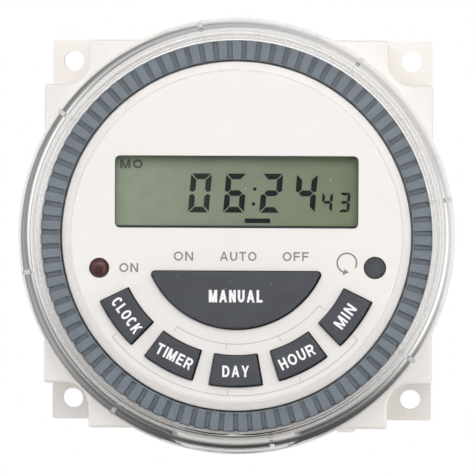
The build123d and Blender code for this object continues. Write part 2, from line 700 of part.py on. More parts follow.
def make_relay_yoke():
    part = relay_block((-12.6, -1.0), 4.5, (RELAY_FLOOR + GAP, RELAY_FLOOR + 1.1))
    part += relay_block((-12.6, -11.6), 4.5, (RELAY_FLOOR + GAP, HINGE_DEPTH - 0.05))
    return part + relay_rod(COIL_X, 1.5, RELAY_FLOOR + GAP, HINGE_DEPTH - 0.6)


def make_relay_bobbin():
    sleeve = tube(COIL_X, RELAY_Z, 2.1, 1.6, 14.7, 22.8)
    ends = [tube(COIL_X, RELAY_Z, 5.0, 1.6, back, back + 0.6) for back in (14.7, 22.2)]
    return group([sleeve] + ends)


def make_relay_coil():
    return tube(COIL_X, RELAY_Z, 4.5, 2.15, 15.35, 22.15)


def make_relay_armature():
    part = relay_block((-12.6, -1.5), 4.2, (HINGE_DEPTH + 0.1, HINGE_DEPTH + 0.95))
    return part - relay_rod(-3.0, 0.6, HINGE_DEPTH, HINGE_DEPTH + 1)


def make_moving_contact():
    front = HINGE_DEPTH + 0.95
    part = relay_block((-9.0, CONTACT_X + 1.7), 2.0, (front, front + 0.25))
    part += relay_rod(-3.0, 0.55, HINGE_DEPTH + 0.1, front)
    return part + relay_rod(CONTACT_X, CONTACT_R, front - 0.9, front)


def make_fixed_contacts():
    """The contact behind the moving one closes when the coil pulls; the one in front rests on it."""
    contacts = []
    for strip_back, button, post_x in ((21.5, (21.9, 22.6), 9.0), (25.75, (25.25, 25.75), 11.6)):
        part = relay_block((CONTACT_X - 1.6, post_x + 0.4), 2.0, (strip_back, strip_back + 0.4))
        part += relay_block((post_x, post_x + 0.4), 2.0, (RELAY_FLOOR, strip_back + 0.4))
        contacts.append(part + relay_rod(CONTACT_X, CONTACT_R, *button))
    return group(contacts)


# ---------------------------------------------------------------- every node
def make_nodes():
    nodes = {
        "rear_plate": make_rear_plate(),
        "front_shell": make_front_shell(),
        "assembly_screws": make_assembly_screws(),
        "din_latch": make_din_latch(),
        "latch_spring": make_latch_spring(),
        "clear_cover": make_clear_cover(),
        "locking_ring": make_locking_ring(),
        "fascia": make_fascia(),
        "lcd_lens": make_lcd_lens(),
        "lcd_glass": make_lcd_glass(),
        "lcd_reflector": make_lcd_reflector(),
        "lcd_frame": make_lcd_frame(),
        "zebra_strip": make_zebra_strip(),
        "control_board": make_control_board(),
        "control_board_screws": make_control_screws(),
        "microcontroller": make_microcontroller(),
        "crystal": make_crystal(),
        "smd_parts": make_smd_parts(),
        "contact_pads": make_contact_pads(),
        "indicator_led": make_indicator_led(),
        "led_leads": make_led_leads(),
        "keypad_mat": make_keypad_mat(),
        "key_domes": make_key_domes(),
        "reset_button": make_reset_button(),
        "power_board": make_power_board(),
        "power_board_screws": make_power_screws(),
        "component_leads": make_component_leads(),
        "film_capacitor": make_film_capacitor(),
        "electrolytic_capacitor": make_electrolytic_capacitor(),
        "varistor": make_varistor(),
        "fuse": make_fuse(),
        "transistor": make_transistor(),
        "rectifier_diodes": lying_bodies(DIODE_ROWS, DIODE_ENDS, 1.3),
        "dropper_resistor": lying_bodies([RESISTOR_Z], RESISTOR_ENDS, 1.15),
        "backup_battery": make_backup_battery(),
        "battery_clips": make_battery_clips(),
        "link_header": make_link_header(),
        "link_pins": make_link_pins(),
        "supply_tabs": tab_parts(1, SUPPLY_X),
        "switch_tabs": tab_parts(-1, SWITCH_X),
        "top_tab_block": tab_block(1, SUPPLY_X, PLATE_FRONT + GAP),
        "bottom_tab_block": tab_block(-1, SWITCH_X, TROUGH_FRONT + GAP),
        "relay_base": make_relay_base(),
        "relay_case": make_relay_case(),
        "relay_pins": make_relay_pins(),
        "relay_yoke": make_relay_yoke(),
        "relay_bobbin": make_relay_bobbin(),
        "relay_coil": make_relay_coil(),
        "relay_armature": make_relay_armature(),
        "moving_contact": make_moving_contact(),
        "fixed_contacts": make_fixed_contacts(),
    }
    for name, outline in key_outlines().items():
        if name != "reset_button":
            nodes[name] = make_key(outline, KEY_FRONT, 0.25)
    return nodes


os.makedirs("parts", exist_ok=True)
for node_name, node in make_nodes().items():
    export_step(node, f"parts/{node_name}.step")
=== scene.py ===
import json
from math import cos, pi, radians, sin, sqrt, tan

import bmesh
import bpy
from mathutils import Matrix, Vector


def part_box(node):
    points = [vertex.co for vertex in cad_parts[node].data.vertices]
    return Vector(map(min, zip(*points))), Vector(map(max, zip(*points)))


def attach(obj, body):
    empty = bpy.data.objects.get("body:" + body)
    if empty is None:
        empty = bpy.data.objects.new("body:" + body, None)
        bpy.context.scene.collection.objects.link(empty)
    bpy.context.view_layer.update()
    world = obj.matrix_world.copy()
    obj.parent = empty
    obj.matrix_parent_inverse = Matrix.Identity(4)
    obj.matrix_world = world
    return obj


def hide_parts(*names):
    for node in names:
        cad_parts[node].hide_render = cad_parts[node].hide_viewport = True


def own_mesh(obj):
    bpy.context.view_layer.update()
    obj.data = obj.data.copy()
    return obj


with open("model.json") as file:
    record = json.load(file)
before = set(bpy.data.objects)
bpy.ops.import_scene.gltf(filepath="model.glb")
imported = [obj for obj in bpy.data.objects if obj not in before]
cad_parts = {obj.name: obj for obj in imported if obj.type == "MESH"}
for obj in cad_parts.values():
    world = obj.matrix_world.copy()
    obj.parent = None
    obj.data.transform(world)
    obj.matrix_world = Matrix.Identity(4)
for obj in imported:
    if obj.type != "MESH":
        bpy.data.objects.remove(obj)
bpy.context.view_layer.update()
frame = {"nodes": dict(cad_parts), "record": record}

# Shapes are written in millimetres and turned into Blender's metres with MM.
MM = 0.001
nodes = frame["nodes"]


# ---------------------------------------------------------------- places read from the frame
def front_of(node):
    """Depth of a node's front, in mm forward of the back plane."""
    return -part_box(node)[0][1] / MM


FACE_FRONT = front_of("fascia")
KEY_FRONT = front_of("day_key")
GLASS_FRONT = front_of("lcd_glass")
COVER_FRONT = front_of("clear_cover")
COVER_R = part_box("clear_cover")[1][0] / MM
COVER_BACK = -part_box("clear_cover")[1][1] / MM


# ---------------------------------------------------------------- camera, floor and light
def aimed(place, target):
    """The matrix of a camera or lamp at a place, upright and looking at a target."""
    return Matrix.Translation(place) @ (target - place).to_track_quat("-Z", "Y").to_matrix().to_4x4()


def add_camera():
    """A long lens in front, a little to the right of the face and above it."""
    place = Vector((24.4, -924.0, 25.3)) * MM
    target = Vector((0.09, -FACE_FRONT, -0.12)) * MM
    framed_width, roll = 72.42 * MM, radians(0.23)
    data = bpy.data.cameras.new("camera")
    camera = bpy.data.objects.new("camera", data)
    bpy.context.scene.collection.objects.link(camera)
    camera.matrix_world = aimed(place, target) @ Matrix.Rotation(roll, 4, "Z")
    data.sensor_width = 36.0
    data.lens = data.sensor_width * (target - place).length / framed_width
    data.clip_start = 0.01
    bpy.context.scene.camera = camera


def add_lamp(name, place, size, power):
    """A soft rectangular lamp aimed at the object, weak enough to leave the clear parts clear."""
    data = bpy.data.lights.new(name, "AREA")
    data.shape, data.size, data.size_y = "RECTANGLE", size[0], size[1]
    data.energy = power
    lamp = bpy.data.objects.new(name, data)
    bpy.context.scene.collection.objects.link(lamp)
    middle = Vector((0.0, -0.03, 0.0))
    lamp.matrix_world = aimed(Vector(place), middle)


def fill_ramp(node, stops):
    """Sets a colour ramp's stops, each a position and a colour."""
    elements = node.color_ramp.elements
    while len(elements) < len(stops):
        elements.new(0.5)
    for element, (position, colour) in zip(elements, stops):
        element.position, element.color = position, colour


def add_world():
    """A studio surround of soft panels, white where the camera looks straight past the object.

    The panels leave a dark patch behind the camera, so that the clear parts don't mirror light at it.
    """
    world = bpy.data.worlds.new("studio")
    bpy.context.scene.world = world
    world.use_nodes = True
    tree = world.node_tree
    tree.nodes.clear()
    where = tree.nodes.new("ShaderNodeTexCoord").outputs["Generated"]

    def panel(direction, core, edge, radiance):
        """A round patch of light: full within core degrees of its direction, gone at edge degrees."""
        dot = tree.nodes.new("ShaderNodeVectorMath")
        dot.operation = "DOT_PRODUCT"
        dot.inputs[1].default_value = Vector(direction).normalized()
        tree.links.new(where, dot.inputs[0])
        fade = tree.nodes.new("ShaderNodeMapRange")
        fade.interpolation_type = "SMOOTHSTEP"
        fade.inputs["From Min"].default_value = cos(radians(edge))
        fade.inputs["From Max"].default_value = cos(radians(core))
        fade.inputs["To Max"].default_value = radiance
        tree.links.new(dot.outputs["Value"], fade.inputs["Value"])
        return fade.outputs[0]

    def combine(operation, socket, other):
        """A socket added to or multiplied by another socket or a number."""
        made = tree.nodes.new("ShaderNodeMath")
        made.operation = operation
        tree.links.new(socket, made.inputs[0])
        if isinstance(other, float):
            made.inputs[1].default_value = other
        else:
            tree.links.new(other, made.inputs[1])
        return made.outputs[0]

    # Direction, degrees out to the full core, degrees out to the faded edge, radiance
    panels = (
        ((-0.85, -0.50, 0.20), 20, 50, 0.95),    # left
        ((0.85, -0.50, -0.20), 20, 50, 1.05),    # right
        ((0.20, -0.75, -0.65), 12, 30, -0.30),   # darker under the camera
        ((0.0, 1.0, 0.10), 40, 75, 0.30),        # behind the object
        ((0.0, -1.0, 0.0), 16, 34, -0.50),       # darker behind the camera
        ((0.0, 0.2, -1.0), 20, 60, -0.36),       # darker under the object
        ((0.0, 0.75, -0.65), 15, 40, -0.22),     # darker behind and under the object
    )
    base = 0.55
    total = base
    for direction, core, edge, radiance in panels:
        total = combine("ADD", panel(direction, core, edge, radiance), total)
    # Rings of light and shade round the view's axis, which the clear rim gathers into fine lines
    ring_levels = ((0.22, 1.0), (0.30, 0.30), (0.38, 1.1), (0.46, 0.25), (0.54, 1.1), (0.62, 0.30),
                   (0.72, 1.1), (0.84, 0.7), (0.95, 1.1))
    split = tree.nodes.new("ShaderNodeSeparateXYZ")
    tree.links.new(where, split.inputs[0])
    height = tree.nodes.new("ShaderNodeMapRange")
    height.inputs["From Min"].default_value = -1.0
    tree.links.new(split.outputs["Y"], height.inputs["Value"])
    rings = tree.nodes.new("ShaderNodeValToRGB")
    fill_ramp(rings, [(position, (level, level, level, 1)) for position, level in ring_levels])
    tree.links.new(height.outputs[0], rings.inputs["Fac"])
    total = combine("MULTIPLY", total, rings.outputs["Color"])
    output = tree.nodes.new("ShaderNodeOutputWorld")
    mix = tree.nodes.new("ShaderNodeMixShader")
    light = tree.nodes.new("ShaderNodeBackground")
    seen = tree.nodes.new("ShaderNodeBackground")
    seen.inputs["Color"].default_value = (1, 1, 1, 1)
    light.inputs["Color"].default_value = (1.0, 0.99, 0.98, 1)
    tree.links.new(total, light.inputs["Strength"])
    tree.links.new(tree.nodes.new("ShaderNodeLightPath").outputs["Is Camera Ray"], mix.inputs["Fac"])
    tree.links.new(light.outputs[0], mix.inputs[1])
    tree.links.new(seen.outputs[0], mix.inputs[2])
    tree.links.new(mix.outputs[0], output.inputs["Surface"])


def add_floor():
    """A plain pale floor, well below the object."""
    mesh = bpy.data.meshes.new("floor")
    half, low = 0.6, -0.6
    mesh.from_pydata([(-half, -half, low), (half, -half, low), (half, half, low), (-half, half, low)],
                     [], [(0, 1, 2, 3)])
    floor = bpy.data.objects.new("floor", mesh)
    bpy.context.scene.collection.objects.link(floor)
    paint = bpy.data.materials.new("floor_white")
    paint.use_nodes = True
    shader = paint.node_tree.nodes["Principled BSDF"]
    shader.inputs["Base Color"].default_value = (0.72, 0.72, 0.72, 1)
    shader.inputs["Roughness"].default_value = 0.9
    mesh.materials.append(paint)
    floor.visible_transmission = floor.visible_glossy = False


# ---------------------------------------------------------------- materials
def srgb(red, green, blue):
    """A colour given as 0 to 255 display values, as linear RGBA."""
    def linear(value):
        value /= 255
        return value / 12.92 if value <= 0.04045 else ((value + 0.055) / 1.055) ** 2.4
    return (linear(red), linear(green), linear(blue), 1.0)


class Paint:
    """A procedural material: a Principled shader, with helpers that add pattern nodes to it."""

    def __init__(self, name, roughness=0.5, **sockets):
        self.material = bpy.data.materials.new(name)
        self.material.use_nodes = True
        self.tree = self.material.node_tree
        self.shader = self.tree.nodes["Principled BSDF"]
        self.shader.inputs["Roughness"].default_value = roughness
        for socket, value in sockets.items():
            self.shader.inputs[socket.replace("_", " ")].default_value = value
        self.place = self.tree.nodes.new("ShaderNodeTexCoord").outputs["Object"]

    def node(self, kind, **settings):
        made = self.tree.nodes.new(kind)
        for name, value in settings.items():
            setattr(made, name, value)
        return made

    def link(self, start, end):
        self.tree.links.new(start, end)

    def noise(self, grain_mm, detail=2.0, stretch=(1, 1, 1)):
        """Noise whose grains are about grain_mm across."""
        mapping = self.node("ShaderNodeMapping")
        mapping.inputs["Scale"].default_value = stretch
        self.link(self.place, mapping.inputs["Vector"])
        made = self.node("ShaderNodeTexNoise")
        made.inputs["Scale"].default_value = 1 / (grain_mm * MM)
        made.inputs["Detail"].default_value = detail
        self.link(mapping.outputs[0], made.inputs["Vector"])
        return made.outputs["Fac"]

    def specks(self, cell_mm, radius_mm, share):
        """A mask of small round specks: one in a share of the cells, each about radius_mm."""
        made = self.node("ShaderNodeTexVoronoi")
        made.inputs["Scale"].default_value = 1 / (cell_mm * MM)
        self.link(self.place, made.inputs["Vector"])
        near = self.node("ShaderNodeMapRange", interpolation_type="SMOOTHSTEP")
        near.inputs["From Min"].default_value = radius_mm / cell_mm
        near.inputs["From Max"].default_value = radius_mm / cell_mm / 2
        self.link(made.outputs["Distance"], near.inputs["Value"])
        split = self.node("ShaderNodeSeparateColor")
        self.link(made.outputs["Color"], split.inputs[0])
        chosen = self.node("ShaderNodeMath", operation="LESS_THAN")
        chosen.inputs[1].default_value = share
        self.link(split.outputs[0], chosen.inputs[0])
        both = self.node("ShaderNodeMath", operation="MULTIPLY")
        self.link(near.outputs[0], both.inputs[0])
        self.link(chosen.outputs[0], both.inputs[1])
        return both.outputs[0]

    def ramp(self, value, *stops):
        """Colours along a value: each stop is (position, colour)."""
        made = self.node("ShaderNodeValToRGB")
        fill_ramp(made, stops)
        self.link(value, made.inputs["Fac"])
        return made.outputs["Color"]

    def mix(self, value, first, second, blend="MIX"):
        """Two colours mixed by a value; a colour is an RGBA tuple or a socket."""
        made = self.node("ShaderNodeMix", data_type="RGBA", blend_type=blend)
        for socket, given in ((made.inputs[0], value), (made.inputs[6], first), (made.inputs[7], second)):
            if hasattr(given, "is_linked"):
                self.link(given, socket)
            else:
                socket.default_value = given
        return made.outputs[2]

    def colour(self, socket):
        """Takes the base colour from a socket."""
        self.link(socket, self.shader.inputs["Base Color"])
        return self

    def rough(self, value, low, high):
        """Roughness that follows a value between two limits."""
        made = self.node("ShaderNodeMapRange")
        made.inputs["To Min"].default_value = low
        made.inputs["To Max"].default_value = high
        self.link(value, made.inputs["Value"])
        self.link(made.outputs[0], self.shader.inputs["Roughness"])
        return self

    def bump(self, value, depth_mm):
        """Relief of a given depth that follows a value."""
        made = self.node("ShaderNodeBump")
        made.inputs["Strength"].default_value = 1.0
        made.inputs["Distance"].default_value = depth_mm * MM
        self.link(value, made.inputs["Height"])
        self.link(made.outputs[0], self.shader.inputs["Normal"])
        return self


def shade(colour, factor):
    """A colour made darker or lighter by a factor."""
    return tuple(channel * factor for channel in colour[:3]) + (1.0,)


def moulded(name, colour, roughness, grain_mm=0.16, depth_mm=0.006, mottle=0.03):
    """Injection-moulded plastic: a faint spark-eroded grain and a slow drift of shade."""
    paint = Paint(name, roughness)
    cloud = paint.noise(9.0, 3.0)
    paint.colour(paint.ramp(cloud, (0.3, shade(colour, 1 - mottle)), (0.7, colour)))
    grain = paint.noise(grain_mm, 1.0)
    return paint.bump(grain, depth_mm).rough(grain, roughness - 0.06, roughness + 0.06).material


def specked_rubber(name, colour, roughness):
    """Matte rubber with fine grain and a few pale specks of dust."""
    paint = Paint(name, roughness)
    grain = paint.noise(0.10, 2.0)
    cloud = paint.ramp(paint.noise(3.0, 3.0), (0.3, shade(colour, 0.9)), (0.7, shade(colour, 1.12)))
    paint.colour(paint.mix(paint.specks(0.9, 0.10, 0.10), cloud, srgb(150, 152, 158)))
    return paint.bump(grain, 0.010).material


def metal(name, colour, roughness, stretch=(1, 1, 1)):
    """Plain sheet metal with faint drawing marks."""
    paint = Paint(name, roughness, Metallic=1.0)
    marks = paint.noise(0.35, 3.0, stretch)
    paint.colour(paint.ramp(marks, (0.3, shade(colour, 0.85)), (0.7, colour)))
    return paint.rough(marks, roughness - 0.08, roughness + 0.1).bump(marks, 0.004).material


def clear(name, tint, roughness, ior, shadow):
    """Polished clear plastic with a trace of haze; lamp light passes straight through, a little dimmed."""
    paint = Paint(name, roughness, Transmission_Weight=1.0, IOR=ior)
    paint.shader.inputs["Base Color"].default_value = tint
    haze = paint.noise(5.0, 4.0)
    paint.rough(haze, roughness, roughness + 0.02)
    passing = paint.node("ShaderNodeBsdfTransparent")
    passing.inputs["Color"].default_value = (shadow, shadow, shadow, 1)
    choice = paint.node("ShaderNodeMixShader")
    paint.link(paint.node("ShaderNodeLightPath").outputs["Is Shadow Ray"], choice.inputs[0])
    paint.link(paint.shader.outputs[0], choice.inputs[1])
    paint.link(passing.outputs[0], choice.inputs[2])
    paint.link(choice.outputs[0], paint.tree.nodes["Material Output"].inputs["Surface"])
    return paint.material


def display_face():
    """The polariser on the display glass: grey green, with painted shading that makes it paler to the left and
    darker to the right.
    """
    paint = Paint("display_polariser", 0.45, Coat_Weight=0.15, Coat_Roughness=0.08)
    split = paint.node("ShaderNodeSeparateXYZ")
    paint.link(paint.place, split.inputs[0])
    across = paint.node("ShaderNodeMapRange")
    low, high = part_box("lcd_glass")
    across.inputs["From Min"].default_value = low[0]
    across.inputs["From Max"].default_value = high[0]
    paint.link(split.outputs["X"], across.inputs["Value"])
    # Painted shading across the display: paler to the left, darker to the right
    tone_with_painted_shading = paint.ramp(across.outputs[0], (0.05, srgb(140, 151, 130)), (0.45, srgb(127, 136, 115)),
                      (0.97, srgb(116, 125, 95)))
    cloud = paint.ramp(paint.noise(2.4, 4.0), (0.3, (0.93, 0.93, 0.93, 1)), (0.7, (1.03, 1.03, 1.03, 1)))
    clouded_with_painted_shading = paint.mix(1.0, tone_with_painted_shading, cloud, "MULTIPLY")
    speck = paint.specks(1.3, 0.13, 0.22)
    return paint.colour(paint.mix(speck, clouded_with_painted_shading, srgb(190, 196, 180))).material


def flat_print(name, colour, roughness=0.6):
    """Printing ink: nearly even, with slight thinning."""
    paint = Paint(name, roughness)
    ink = paint.noise(0.5, 2.0)
    return paint.colour(paint.ramp(ink, (0.3, shade(colour, 0.93)), (0.7, colour))).material


def circuit_board():
    """Green solder resist with darker lands of copper under it."""
    paint = Paint("circuit_board", 0.3, Coat_Weight=0.3)
    lands = paint.ramp(paint.noise(2.6, 0.0), (0.49, srgb(22, 88, 52)), (0.52, srgb(34, 112, 66)))
    return paint.colour(lands).bump(paint.noise(2.6, 0.0), 0.02).material


def ring_with_painted_groove_shade():
    """Grey plastic with painted shade in its radial grooves, darkest along their edges."""
    paint = Paint("grey_plastic", 0.42)
    split = paint.node("ShaderNodeSeparateXYZ")
    paint.link(paint.place, split.inputs[0])
    angle = paint.node("ShaderNodeMath", operation="ARCTAN2")
    paint.link(split.outputs["Z"], angle.inputs[0])
    paint.link(split.outputs["X"], angle.inputs[1])
    grooves, half_groove, edge = 83, 0.175, 0.035
    turns = paint.node("ShaderNodeMath", operation="MULTIPLY_ADD")
    turns.inputs[1].default_value = grooves / (2 * pi)
    turns.inputs[2].default_value = grooves / 4 + grooves
    paint.link(angle.outputs[0], turns.inputs[0])
    across = paint.node("ShaderNodeMath", operation="PINGPONG")
    across.inputs[1].default_value = 0.5
    paint.link(turns.outputs[0], across.inputs[0])
    # Painted shade: the grooves darker than the flats between them, and darkest along their edges
    pattern = paint.ramp(across.outputs[0],
                         (0.0, shade(RING_GREY, 0.80)),
                         (half_groove - edge, shade(RING_GREY, 0.74)),
                         (half_groove - edge / 3, shade(RING_GREY, 0.45)),
                         (half_groove + edge / 3, shade(RING_GREY, 0.55)),
                         (half_groove + edge, RING_GREY))
    cloud = paint.ramp(paint.noise(6.0, 3.0), (0.3, (0.92, 0.92, 0.92, 1)), (0.7, (1.04, 1.04, 1.04, 1)))
    paint.colour(paint.mix(1.0, pattern, cloud, "MULTIPLY"))
    grain = paint.noise(0.16, 1.0)
    return paint.bump(grain, 0.006).rough(grain, 0.36, 0.48).material


def wound(name, colour):
    """Enamelled wire wound round the axis that points forward, with painted shade in the creases between its
    turns.
    """
    paint = Paint(name, 0.35, Metallic=0.7)
    wave = paint.node("ShaderNodeTexWave", bands_direction="Y")
    wave.inputs["Scale"].default_value = 1 / (1.2 * MM)
    paint.link(paint.place, wave.inputs["Vector"])
    # Painted shade: darker in the troughs between the turns of wire
    paint.colour(paint.ramp(wave.outputs["Fac"], (0.1, shade(colour, 0.5)), (0.6, colour)))
    return paint.bump(wave.outputs["Fac"], 0.05).material


def led_lens():
    """Dark red lens of a lamp that is off."""
    paint = Paint("indicator_red", 0.32, Coat_Weight=0.15)
    cloud = paint.noise(0.8, 2.0)
    return paint.colour(paint.ramp(cloud, (0.3, srgb(58, 26, 26)), (0.7, srgb(84, 38, 36)))).material


WHITE = srgb(250, 246, 242)
FACE_WHITE = srgb(240, 236, 233)
RING_GREY = srgb(112, 121, 130)
KEY_GREY = srgb(64, 67, 74)

finishes = {
    "housing_plastic": moulded("housing_plastic", WHITE, 0.45, mottle=0.02),
    "fascia_plastic": moulded("fascia_plastic", FACE_WHITE, 0.42, grain_mm=0.12, depth_mm=0.004, mottle=0.015),
    "clear_plastic": clear("clear_plastic", (1.0, 1.0, 1.0, 1), 0.0, 1.49, 0.93),
    # The ring's grooves carry painted shade
    "grey_plastic": ring_with_painted_groove_shade(),
    "key_rubber": specked_rubber("key_rubber", KEY_GREY, 0.62),
    # Painted shade: the mat is the key rubber made darker, as it lies in shade round and under the keys
    "mat_rubber": specked_rubber("mat_rubber", shade(KEY_GREY, 0.8), 0.7),
    "display_glass": display_face(),
    "display_backing": moulded("display_backing", srgb(150, 160, 140), 0.4),
    "window_plastic": clear("window_plastic", (0.99, 1.0, 0.99, 1), 0.01, 1.3, 0.97),
    "black_plastic": moulded("black_plastic", srgb(38, 38, 40), 0.5),
    "indicator_red": led_lens(),
    "circuit_board": circuit_board(),
    "tinned_metal": metal("tinned_metal", srgb(200, 200, 198), 0.35),
    "steel": metal("steel", srgb(190, 190, 192), 0.32),
    "brass": metal("brass", srgb(205, 175, 105), 0.3, (1, 1, 0.15)),
    "copper": wound("copper", srgb(190, 110, 60)),
    "carbon": moulded("carbon", srgb(30, 30, 32), 0.7),
    "ceramic_blue": moulded("ceramic_blue", srgb(40, 70, 150), 0.3, depth_mm=0.02),
    "component_yellow": moulded("component_yellow", srgb(214, 178, 60), 0.4),
    "component_sleeve": moulded("component_sleeve", srgb(30, 38, 70), 0.3, depth_mm=0.002),
    "nylon_white": moulded("nylon_white", srgb(228, 224, 214), 0.5),
    "resistor_body": moulded("resistor_body", srgb(196, 170, 130), 0.4),
}
for subpart in frame["record"]["subparts"]:
    mesh = nodes[subpart["node"]].data
    mesh.materials.clear()
    mesh.materials.append(finishes[subpart["material_slot"]])
    split = nodes[subpart["node"]].modifiers.new("sharp_edges", "EDGE_SPLIT")
    split.split_angle = radians(25)


# ---------------------------------------------------------------- mesh helpers
def add_piece(name, points, faces, finish, body, smooth=False):
    """A mesh piece that rides on a body; points are in millimetres."""
    mesh = bpy.data.meshes.new(name)
    mesh.from_pydata([Vector(point) * MM for point in points], [], faces)
    shape = bmesh.new()
    shape.from_mesh(mesh)
    bmesh.ops.recalc_face_normals(shape, faces=shape.faces)
    shape.to_mesh(mesh)
    shape.free()
    mesh.materials.append(finish)
    piece = bpy.data.objects.new(name, mesh)
    bpy.context.scene.collection.objects.link(piece)
    if smooth:
        for polygon in mesh.polygons:
            polygon.use_smooth = True
    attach(piece, body)
    return piece


def printed(name, outlines, depth_mm, finish, body, thick_mm=0.02, levels=None):
    """Flat shapes printed at a depth: each outline is a list of (x, z) in mm, anticlockwise.

    Where outlines overlap, levels lifts each by a few microns so that no two fronts lie in one plane.
    """
    lift = 0.003
    points, faces = [], []
    for number, outline in enumerate(outlines):
        first, count = len(points), len(outline)
        front = depth_mm + thick_mm + (lift * levels[number] if levels else 0)
        points += [(x, -depth_mm, z) for x, z in outline]
        points += [(x, -front, z) for x, z in outline]
        faces.append(tuple(range(first + count - 1, first - 1, -1)))
        faces.append(tuple(range(first + count, first + 2 * count)))
        for here in range(count):
            there = (here + 1) % count
            faces.append((first + here, first + there, first + count + there, first + count + here))
    return add_piece(name, points, faces, finish, body)


# Each letter: its width for a height of 1, then its strokes in a box from 0 to 1.
# stem: x, from z, to z.  bar: z, from x, to x.  slant: from x and z to x and z, with level ends.
# bow: centre x and z, half width and half height, from and to degrees.
LETTERS = {
    "A": (0.95, ("slant", 0, 0, 0.5, 1), ("slant", 1, 0, 0.5, 1), ("bar", 0.28, 0.2, 0.8)),
    "C": (0.90, ("bow", 0.5, 0.5, 0.5, 0.5, 42, 318)),
    "D": (0.87, ("stem", 0, 0, 1), ("bar", 1, 0, 0.45), ("bar", 0, 0, 0.45),
          ("bow", 0.45, 0.5, 0.55, 0.5, -90, 90)),
    "E": (0.76, ("stem", 0, 0, 1), ("bar", 1, 0, 1), ("bar", 0.52, 0, 0.92), ("bar", 0, 0, 1)),
    "F": (0.71, ("stem", 0, 0, 1), ("bar", 1, 0, 1), ("bar", 0.5, 0, 0.9)),
    "H": (0.80, ("stem", 0, 0, 1), ("stem", 1, 0, 1), ("bar", 0.52, 0, 1)),
    "I": (0.20, ("stem", 0.5, 0, 1)),
    "K": (0.90, ("stem", 0, 0, 1), ("slant", 0, 0.30, 0.94, 1), ("slant", 1, 0, 0.34, 0.62)),
    "L": (0.70, ("stem", 0, 0, 1), ("bar", 0, 0, 1)),
    "M": (0.98, ("stem", 0, 0, 1), ("stem", 1, 0, 1), ("slant", 0.5, 0, 0.06, 1), ("slant", 0.5, 0, 0.94, 1)),
    "N": (0.80, ("stem", 0, 0, 1), ("stem", 1, 0, 1), ("slant", 0.98, 0, 0.02, 1)),
    "O": (0.96, ("bow", 0.5, 0.5, 0.5, 0.5, 0, 360)),
    "R": (0.87, ("stem", 0, 0, 1), ("bar", 1, 0, 0.6), ("bar", 0.46, 0, 0.6),
          ("bow", 0.6, 0.73, 0.38, 0.27, -90, 90), ("slant", 0.98, 0, 0.55, 0.5)),
    "T": (0.80, ("stem", 0.5, 0, 1), ("bar", 1, 0, 1)),
    "U": (0.82, ("stem", 0, 0.4, 1), ("stem", 1, 0.4, 1), ("bow", 0.5, 0.4, 0.5, 0.4, 180, 360)),
    "Y": (0.90, ("slant", 0.5, 0.38, 0, 1), ("slant", 0.5, 0.38, 1, 1), ("stem", 0.5, 0, 0.45)),
}


def letter_outlines(letter, left, width, height, stroke):
    """The strokes of one letter, each a list of convex outlines in mm from its lower left corner."""
    half = stroke / 2

    def across(share):
        return left + half + share * (width - stroke)

    def up(share):
        return half + share * (height - stroke)

    strokes = []
    for kind, *at in LETTERS[letter][1:]:
        if kind == "stem":
            x = across(at[0])
            strokes.append([[(x - half, at[1] * height), (x + half, at[1] * height),
                             (x + half, at[2] * height), (x - half, at[2] * height)]])
        elif kind == "bar":
            z, start, end = up(at[0]), across(at[1]) - half, across(at[2]) + half
            strokes.append([[(start, z - half), (end, z - half), (end, z + half), (start, z + half)]])
        elif kind == "slant":
            low, high = across(at[0]), across(at[2])
            rise, run = (at[3] - at[1]) * height, high - low
            wide = 0.88 * half * min(sqrt(rise * rise + run * run) / rise, 1.35)
            strokes.append([[(low - wide, at[1] * height), (low + wide, at[1] * height),
                             (high + wide, at[3] * height), (high - wide, at[3] * height)]])
        else:
            steps = max(6, round(abs(at[5] - at[4]) / 12))
            rim = []
            for number in range(steps + 1):
                angle = radians(at[4] + (at[5] - at[4]) * number / steps)
                rim.append((cos(angle), sin(angle)))
            centre_x, centre_z = across(at[0]), up(at[1])
            wide, tall = at[2] * (width - stroke), at[3] * (height - stroke)
            outer = [(centre_x + (wide + half) * u, centre_z + (tall + half) * v) for u, v in rim]
            inner = [(centre_x + (wide - half) * u, centre_z + (tall - half) * v) for u, v in rim]
            strokes.append([[inner[n], outer[n], outer[n + 1], inner[n + 1]] for n in range(steps)])
    return strokes


def lettering(name, text, centre, size, stroke, depth_mm, finish, body, turn=0.0):
    """A printed word: centre (x, z), size (width, height) and stroke in mm, turned in degrees."""
    space = 0.22    # between letters, as a share of their height
    natural = sum(LETTERS[letter][0] for letter in text) + space * (len(text) - 1)
    scale = size[0] / natural
    outlines, levels, left = [], [], 0.0
    for letter in text:
        width = LETTERS[letter][0] * scale
        strokes = letter_outlines(letter, left, max(width, stroke), size[1], stroke)
        for level, pieces in enumerate(strokes):
            outlines += pieces
            levels += [level] * len(pieces)
        left += width + space * scale
    cosine, sine = cos(radians(turn)), sin(radians(turn))

    def placed(x, z):
        x, z = x - size[0] / 2, z - size[1] / 2
        return centre[0] + x * cosine - z * sine, centre[1] + x * sine + z * cosine

    outlines = [anticlockwise([placed(x, z) for x, z in outline]) for outline in outlines]
    return printed(name, outlines, depth_mm, finish, body, levels=levels)


def anticlockwise(outline):
    """The same outline, turned round if it runs clockwise."""
    area = sum(x0 * z1 - x1 * z0 for (x0, z0), (x1, z1) in zip(outline, outline[1:] + outline[:1]))
    return outline if area > 0 else outline[::-1]


def polar(radius, angle):
    """The (x, z) of a point at a radius and an angle in degrees."""
    return radius * cos(radians(angle)), radius * sin(radians(angle))


def arc_band(radius, width, start, end, step=2.0):
    """The outline of a thin curved line."""
    count = max(2, round((end - start) / step))
    angles = [start + (end - start) * n / count for n in range(count + 1)]
    outer = [polar(radius + width / 2, angle) for angle in angles]
    return outer + [polar(radius - width / 2, angle) for angle in reversed(angles)]


def arc_bands(radius, width, start, end):
    """A thin curved line as short convex pieces that share their ends."""
    longest = 3.0
    count = max(2, round((end - start) / longest))
    span = (end - start) / count
    return [arc_band(radius, width, start + n * span, start + (n + 1) * span, span / 2) for n in range(count)]


